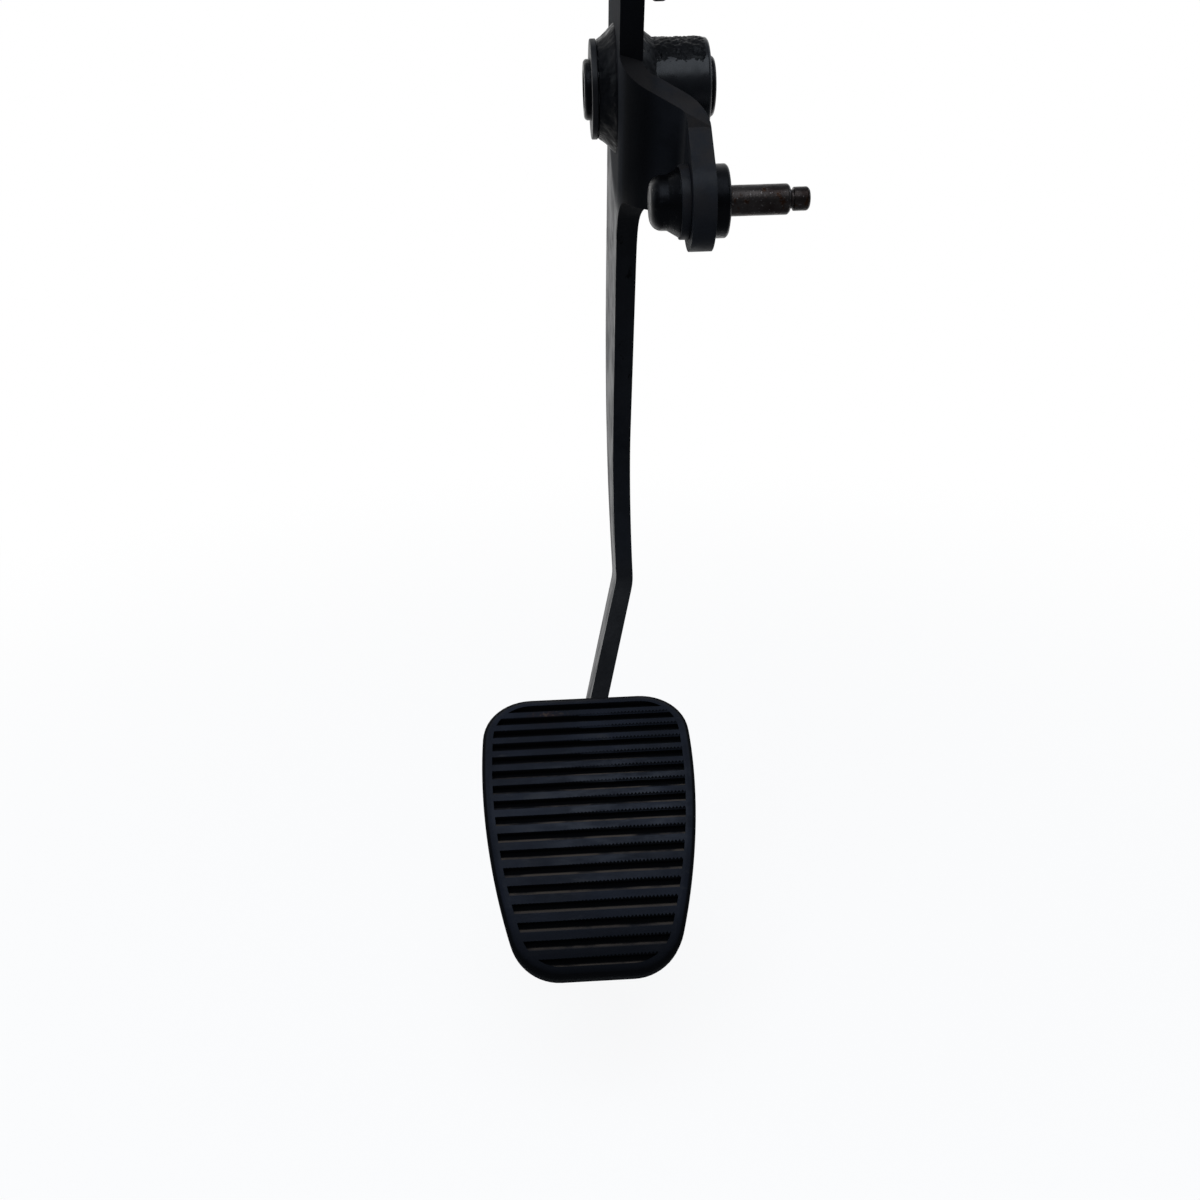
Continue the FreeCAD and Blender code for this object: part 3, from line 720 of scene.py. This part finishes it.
class PEDAL_OT_fastenings(Operator):
    """Dress the pushrod pin, its washer and the spring stud"""
    bl_idname = "pedal.fastenings"
    bl_label = "Pin and stud"

    def execute(self, context):
        edge = settings().metal.turned_edge
        steel = shared(turned_steel)
        for node, name in (("pushrod_pin", "turned_pin"), ("spring_stud", "turned_stud")):
            piece = rounded_copy(node, name, edge)
            finish_piece(piece, PEDAL, "dark_steel", steel, node)
        washer = rounded_copy("pin_washer", "pressed_washer", edge)
        finish_piece(washer, PEDAL, "black_paint", shared(satin_paint), "pin_washer")
        return {"FINISHED"}


# The pad is modelled flat, facing the driver, then curved and carried to its place.


def circle_through(first, second, third):
    """Centre and radius of the circle through three (x, z) points."""
    (ax, az), (bx, bz), (cx, cz) = first, second, third
    twice = 2 * (ax * (bz - cz) + bx * (cz - az) + cx * (az - bz))
    a, b, c = ax * ax + az * az, bx * bx + bz * bz, cx * cx + cz * cz
    x = (a * (bz - cz) + b * (cz - az) + c * (az - bz)) / twice
    z = (a * (cx - bx) + b * (ax - cx) + c * (bx - ax)) / twice
    return x, z, math.hypot(ax - x, az - z)


def draw_arc(start, end, centre, steps):
    """Spin the selected end of an outline from one (x, z) point to another round a centre."""
    begin = math.atan2(start[1] - centre[1], start[0] - centre[0])
    finish = math.atan2(end[1] - centre[1], end[0] - centre[0])
    bpy.ops.mesh.spin(steps=steps, angle=finish - begin, center=(centre[0], 0, centre[1]), axis=(0, 1, 0))


def pad_outline(name, inset):
    """Flat outline of the pad, drawn in by an inset: one half is drawn and then mirrored."""
    sizes = settings().pad
    corner_steps, side_steps = 12, 28
    top = sizes.above - inset
    bottom = inset - sizes.below
    round_off = sizes.corner - inset
    side_x, side_z, side = circle_through((sizes.half_top - inset, top), (sizes.half_middle - inset, 0.0),
                                          (sizes.half_bottom - inset, bottom))

    def corner(level, way):
        """Centre of a corner's round and the two points where it starts and ends."""
        z = level - way * round_off
        x = side_x + math.sqrt((side - round_off) ** 2 - (z - side_z) ** 2)
        stretch = side / (side - round_off)
        on_side = (side_x + (x - side_x) * stretch, side_z + (z - side_z) * stretch)
        return (x, z), (x, level), on_side

    upper, upper_start, upper_end = corner(top, 1)
    lower, lower_end, lower_start = corner(bottom, -1)
    deselect()
    bpy.ops.mesh.primitive_plane_add(size=MM, location=(0, 0, top), rotation=(math.pi / 2, 0, 0))
    piece = bpy.context.object
    piece.name = name
    bpy.ops.object.transform_apply(location=True, rotation=True, scale=True)
    edit(piece)
    bpy.ops.mesh.merge(type="CENTER")
    bpy.ops.mesh.extrude_region_move(TRANSFORM_OT_translate={"value": (upper_start[0], 0, 0)})
    draw_arc(upper_start, upper_end, upper, corner_steps)
    draw_arc(upper_end, lower_start, (side_x, side_z), side_steps)
    draw_arc(lower_start, lower_end, lower, corner_steps)
    bpy.ops.mesh.extrude_region_move(TRANSFORM_OT_translate={"value": (-lower_end[0], 0, 0)})
    bpy.ops.mesh.select_all(action="SELECT")
    bpy.ops.mesh.remove_doubles(threshold=TINY)
    close_edit()
    modify(piece, "MIRROR", use_axis=(True, False, False), use_clip=True, merge_threshold=TINY)
    return piece


def pad_slab(name, inset, front, back):
    """Flat slab between two depths behind the face; its walls lean to end up square to the chord."""
    radius = settings().pad.radius
    piece = pad_outline(name, inset)
    edit(piece)
    bpy.ops.mesh.edge_face_add()
    bpy.ops.transform.translate(value=(0, front, 0))
    spread = radius / (radius - front)
    bpy.ops.transform.resize(value=(1, 1, spread), center_override=(0, front, 0))
    bpy.ops.mesh.extrude_region_move(TRANSFORM_OT_translate={"value": (0, back - front, 0)})
    spread = (radius - front) / (radius - back)
    bpy.ops.transform.resize(value=(1, 1, spread), center_override=(0, back, 0))
    bpy.ops.mesh.select_all(action="SELECT")
    bpy.ops.mesh.normals_make_consistent(inside=False)
    close_edit()
    return piece


def slice_across(piece, step):
    """Cut a flat pad piece into strips so that it can curve."""
    low = min(vert.co.z for vert in piece.data.vertices)
    high = max(vert.co.z for vert in piece.data.vertices)
    count = int((high - low) / step)
    edit(piece)
    for number in range(1, count + 1):
        bpy.ops.mesh.select_all(action="SELECT")
        bpy.ops.mesh.bisect(plane_co=(0, 0, low + (high - low) * number / (count + 1)), plane_no=(0, 0, 1))
    close_edit()


def curve_over(piece):
    """Bend a flat pad piece over the pad's radius, lean it back and carry it to its place."""
    sizes = settings().pad
    low = min(vert.co.z for vert in piece.data.vertices)
    high = max(vert.co.z for vert in piece.data.vertices)
    modify(piece, "SIMPLE_DEFORM", deform_method="BEND", deform_axis="X", angle=(high - low) / sizes.radius)
    piece.rotation_euler = (-sizes.tilt, 0, 0)
    piece.location = sizes.place
    take(piece)
    bpy.ops.object.transform_apply(location=True, rotation=True, scale=True)


def groove_tool(name):
    """All the grooves as one tool: a flared bar with teeth along its upper mouth, repeated down the face."""
    sizes = settings().pad
    half = sizes.groove_width / 2
    depth = sizes.groove_depth
    flare = 0.24 * MM
    worn = sizes.worn_edge
    wall, base = half * 0.92, half * 0.66
    least, fade_from, fade = 0.12, -14 * MM, 26 * MM
    profile = [(half + 2 * flare, -2 * flare), (half + flare, 0.0), (half + flare / 3, flare * 0.7),
               (half, flare * 2), (wall, depth - flare), (base, depth)]
    profile += [(-base, depth), (-wall, depth - flare), (-half, worn * 1.1),
                (-half - worn * 0.45, worn * 0.45), (-half - worn, 0.0), (-half - worn * 1.6, -2 * flare)]
    reach = sizes.half_middle
    step = sizes.tooth_pitch / 2
    deselect()
    bpy.ops.mesh.primitive_circle_add(vertices=len(profile), radius=half, fill_type="NGON",
                                      location=(-reach, 0, sizes.first), rotation=(0, math.pi / 2, 0))
    tool = bpy.context.object
    tool.name = name
    bpy.ops.object.transform_apply(location=True, rotation=True, scale=True)
    edit(tool)
    mesh = bmesh.from_edit_mesh(tool.data)
    mesh.verts.ensure_lookup_table()
    for vert, (z, y) in zip(mesh.verts, profile):
        vert.co = (-reach, y, sizes.first + z)
    bmesh.update_edit_mesh(tool.data)
    steps = int(2 * reach / step)
    bpy.ops.mesh.select_all(action="SELECT")
    bpy.ops.mesh.extrude_repeat(steps=steps, offset=(step, 0, 0))

    mesh = bmesh.from_edit_mesh(tool.data)
    for vert in mesh.verts:
        number = round((vert.co.x + reach) / step)
        if number % 2 and vert.co.z > sizes.first and vert.co.y < flare:
            kept = min(1.0, max(least, (vert.co.x - fade_from) / fade))
            vert.co.z += sizes.tooth_depth * kept
    bmesh.update_edit_mesh(tool.data)
    bpy.ops.mesh.select_all(action="SELECT")
    bpy.ops.mesh.normals_make_consistent(inside=False)
    close_edit()
    modify(tool, "ARRAY", count=sizes.grooves, use_relative_offset=False, use_constant_offset=True,
           constant_offset_displace=(0, 0, -sizes.pitch))
    span = sizes.pitch * (sizes.grooves - 1)
    edit(tool)
    mesh = bmesh.from_edit_mesh(tool.data)
    for vert in mesh.verts:
        number = round((sizes.first - vert.co.z) / sizes.pitch)
        vert.co.z += sizes.crowding * math.sin(math.pi * number * sizes.pitch / span)
    bmesh.update_edit_mesh(tool.data)
    close_edit()
    return tool


class PEDAL_OT_rubber_pad(Operator):
    """Mould the ribbed rubber cover"""
    bl_idname = "pedal.rubber_pad"
    bl_label = "Rubber pad"

    def execute(self, context):
        sizes = settings().pad
        plate_back = sizes.face + sizes.plate
        back = plate_back + sizes.lip
        pad = pad_slab("rubber_cover", 0.0, 0.0, back)
        edit(pad)
        pick(pad, "EDGE", lambda at: at.y < TINY)
        bpy.ops.mesh.bevel(offset=sizes.edge, segments=5, profile=0.5)
        pick(pad, "EDGE", lambda at: at.y > back - TINY)
        bpy.ops.mesh.bevel(offset=sizes.edge / 3, segments=3, profile=0.5)
        close_edit()
        slice_across(pad, sizes.pitch / 2)
        cut(pad, pad_slab("plate_room", sizes.wall, sizes.face, plate_back), "DIFFERENCE")
        opening = pad_slab("lip_opening", sizes.wall + sizes.lip_reach, sizes.face + sizes.plate / 2,
                           back + sizes.lip)
        cut(pad, opening, "DIFFERENCE")
        grooves = groove_tool("grooves")
        cut(grooves, pad_slab("rib_field", sizes.rim, -sizes.lip, sizes.face), "INTERSECT")
        cut(pad, grooves, "DIFFERENCE")
        slice_across(pad, sizes.pitch)
        curve_over(pad)
        smooth(pad, PAD_CREASE)
        finish_piece(pad, PEDAL, "pad_rubber", worn_rubber(), "rubber_pad")
        return {"FINISHED"}


class PEDAL_OT_foot_plate(Operator):
    """Press the curved steel plate inside the rubber"""
    bl_idname = "pedal.foot_plate"
    bl_label = "Foot plate"

    def execute(self, context):
        sizes = settings().pad
        slack = 0.05 * MM
        plate = pad_slab("pressed_plate", sizes.wall + slack, sizes.face + slack,
                         sizes.face + sizes.plate - slack)
        modify(plate, "BEVEL", width=settings().metal.turned_edge, segments=2, limit_method="ANGLE",
               angle_limit=math.radians(40))
        slice_across(plate, sizes.pitch)
        curve_over(plate)
        smooth(plate, PAD_CREASE)
        finish_piece(plate, PEDAL, "black_paint", shared(satin_paint), "foot_plate")
        return {"FINISHED"}


# Stage


def camera_turn(stage):
    """Axes of the camera: right, up and back, from its yaw, pitch and roll."""
    yaw, pitch, roll = stage.yaw, stage.pitch, stage.roll
    ahead = Vector((math.sin(yaw) * math.cos(pitch), math.cos(yaw) * math.cos(pitch), -math.sin(pitch)))
    right = Vector((math.cos(yaw), -math.sin(yaw), 0))
    up = right.cross(ahead)
    rolled_right = math.cos(roll) * right - math.sin(roll) * up
    rolled_up = math.sin(roll) * right + math.cos(roll) * up
    return Matrix((rolled_right, rolled_up, -ahead)).transposed()


class PEDAL_OT_stage(Operator):
    """Set up the floor, the light and the camera"""
    bl_idname = "pedal.stage"
    bl_label = "Stage"

    def execute(self, context):
        stage = settings().stage
        self.floor(stage)
        self.world(context.scene)
        self.lamps()
        deselect()
        bpy.ops.object.camera_add(location=stage.camera)
        camera = bpy.context.object
        camera.rotation_euler = camera_turn(stage).to_euler()
        camera.data.sensor_width = FILM
        camera.data.sensor_fit = "HORIZONTAL"
        camera.data.lens = stage.lens
        camera.data.clip_start = 0.01
        context.scene.camera = camera
        context.scene.view_settings.view_transform = "Standard"
        return {"FINISHED"}

    def floor(self, stage):
        """A pale floor, whiter far away, that is dim to other light and white to gloss behind the pedal."""
        deselect()
        level = CAD_BOX[0][2] - stage.floor_gap
        bpy.ops.mesh.primitive_plane_add(size=stage.floor_size, location=(0, 0, level))
        floor = bpy.context.object
        floor.name = "floor"
        bpy.ops.object.transform_apply(location=True, rotation=True, scale=True)
        material = bpy.data.materials.new("pale_floor")
        material.use_nodes = True
        wiring = Wiring(material.node_tree)
        pale = wiring.nodes["Principled BSDF"]
        pale.inputs["Base Color"].default_value = (0.86, 0.86, 0.86, 1)
        pale.inputs["Roughness"].default_value = 0.9
        pale.inputs["Specular IOR Level"].default_value = 0.1
        dim = wiring.add("BsdfDiffuse", (0.42, 0.42, 0.42, 1))
        glow = wiring.add("Emission", WHITE)
        path = wiring.add("LightPath").outputs
        place = wiring.add("NewGeometry").outputs["Position"]
        away = wiring.add("VectorMath", place, operation="LENGTH").outputs["Value"]
        behind = wiring.ramp(wiring.add("SeparateXYZ", place).outputs["Y"], 0.0, 0.3)
        seen = wiring.blend(wiring.ramp(away, 0.32, 0.8, 0.88, 1.0), pale, glow)
        thrown = wiring.blend(wiring.times(path["Is Glossy Ray"], behind), dim, glow)
        surface = wiring.blend(path["Is Camera Ray"], thrown, seen)
        wiring.links.new(surface.outputs[0], wiring.nodes["Material Output"].inputs["Surface"])
        floor.data.materials.append(material)

    def world(self, scene):
        """White to the camera, and to gloss behind the pedal; else bluish from above and dim lower down."""
        world = bpy.data.worlds.new("studio")
        scene.world = world
        world.use_nodes = True
        wiring = Wiring(world.node_tree)
        soft = wiring.nodes["Background"]
        soft.inputs["Color"].default_value = (0.80, 0.87, 1.0, 1)
        white = wiring.add("Background", WHITE)
        path = wiring.add("LightPath").outputs
        sky = wiring.add("TexCoord").outputs["Generated"]
        height = wiring.add("SeparateXYZ", sky).outputs["Z"]
        strength = wiring.add("MapRange", height, 0.0, 0.9, 0.20, 0.60).outputs[0]
        wiring.links.new(strength, soft.inputs["Strength"])
        toward = wiring.add("VectorMath", sky, (-0.20, 0.97, 0.10), operation="DOT_PRODUCT").outputs["Value"]
        gloss = wiring.times(wiring.ramp(toward, 0.45, 0.90), path["Is Glossy Ray"])
        direct = wiring.combine("MAXIMUM", path["Is Camera Ray"], path["Is Transmission Ray"])
        surface = wiring.blend(wiring.combine("MAXIMUM", direct, gloss), soft, white)
        wiring.links.new(surface.outputs[0], wiring.nodes["World Output"].inputs["Surface"])

    def lamps(self):
        """A wide soft lamp overhead and a smaller one at each side."""
        for name, place, target, size, power in (
            ("overhead", (-0.12, -0.58, 0.80), (0.0, 0.0, -0.10), 0.8, 8.0),
            ("left_fill", (-0.95, 0.15, 0.35), (0.0, 0.0, -0.10), 0.7, 1.6),
            ("right_fill", (0.95, 0.20, 0.40), (0.0, 0.0, -0.10), 0.7, 1.6),
        ):
            deselect()
            bpy.ops.object.light_add(type="AREA", location=place)
            lamp = bpy.context.object
            lamp.name = name
            lamp.data.shape = "SQUARE"
            lamp.data.size = size
            lamp.data.energy = power
            lamp.data.color = (0.82, 0.90, 1.0)
            aim = Vector(target) - Vector(place)
            lamp.rotation_euler = aim.to_track_quat("-Z", "Y").to_euler()


class PedalSettings(PropertyGroup):
    """All settings of the pedal."""
    pad: PointerProperty(type=PedalPadSizes)
    metal: PointerProperty(type=PedalMetalSizes)
    colours: PointerProperty(type=PedalColours)
    stage: PointerProperty(type=PedalStage)


STEPS = (PEDAL_OT_arm, PEDAL_OT_pivot, PEDAL_OT_welds, PEDAL_OT_fastenings, PEDAL_OT_rubber_pad,
         PEDAL_OT_foot_plate, PEDAL_OT_stage)


class PEDAL_PT_panel(Panel):
    """Lists the steps that dress the pedal"""
    bl_idname = "PEDAL_PT_panel"
    bl_label = "Clutch pedal"
    bl_space_type = "VIEW_3D"
    bl_region_type = "UI"
    bl_category = "Pedal"

    def draw(self, context):
        for step in STEPS:
            self.layout.operator(step.bl_idname)
        for group in ("pad", "metal", "colours", "stage"):
            values = getattr(context.scene.pedal, group)
            box = self.layout.box()
            box.label(text=group.capitalize())
            for name in values.__annotations__:
                box.prop(values, name)


CLASSES = (PedalPadSizes, PedalMetalSizes, PedalColours, PedalStage, PedalSettings, *STEPS, PEDAL_PT_panel)


def register():
    for kind in CLASSES:
        bpy.utils.register_class(kind)
    bpy.types.Scene.pedal = PointerProperty(type=PedalSettings)


def unregister():
    del bpy.types.Scene.pedal
    for kind in reversed(CLASSES):
        bpy.utils.unregister_class(kind)


def plain(box):
    return [[float(value) for value in corner] for corner in box]


def main():
    register()
    bpy.ops.pedal.arm()
    bpy.ops.pedal.pivot()
    bpy.ops.pedal.welds()
    bpy.ops.pedal.fastenings()
    bpy.ops.pedal.rubber_pad()
    bpy.ops.pedal.foot_plate()
    bpy.ops.pedal.stage()
    deselect()


if __name__ == "__main__":
    main()
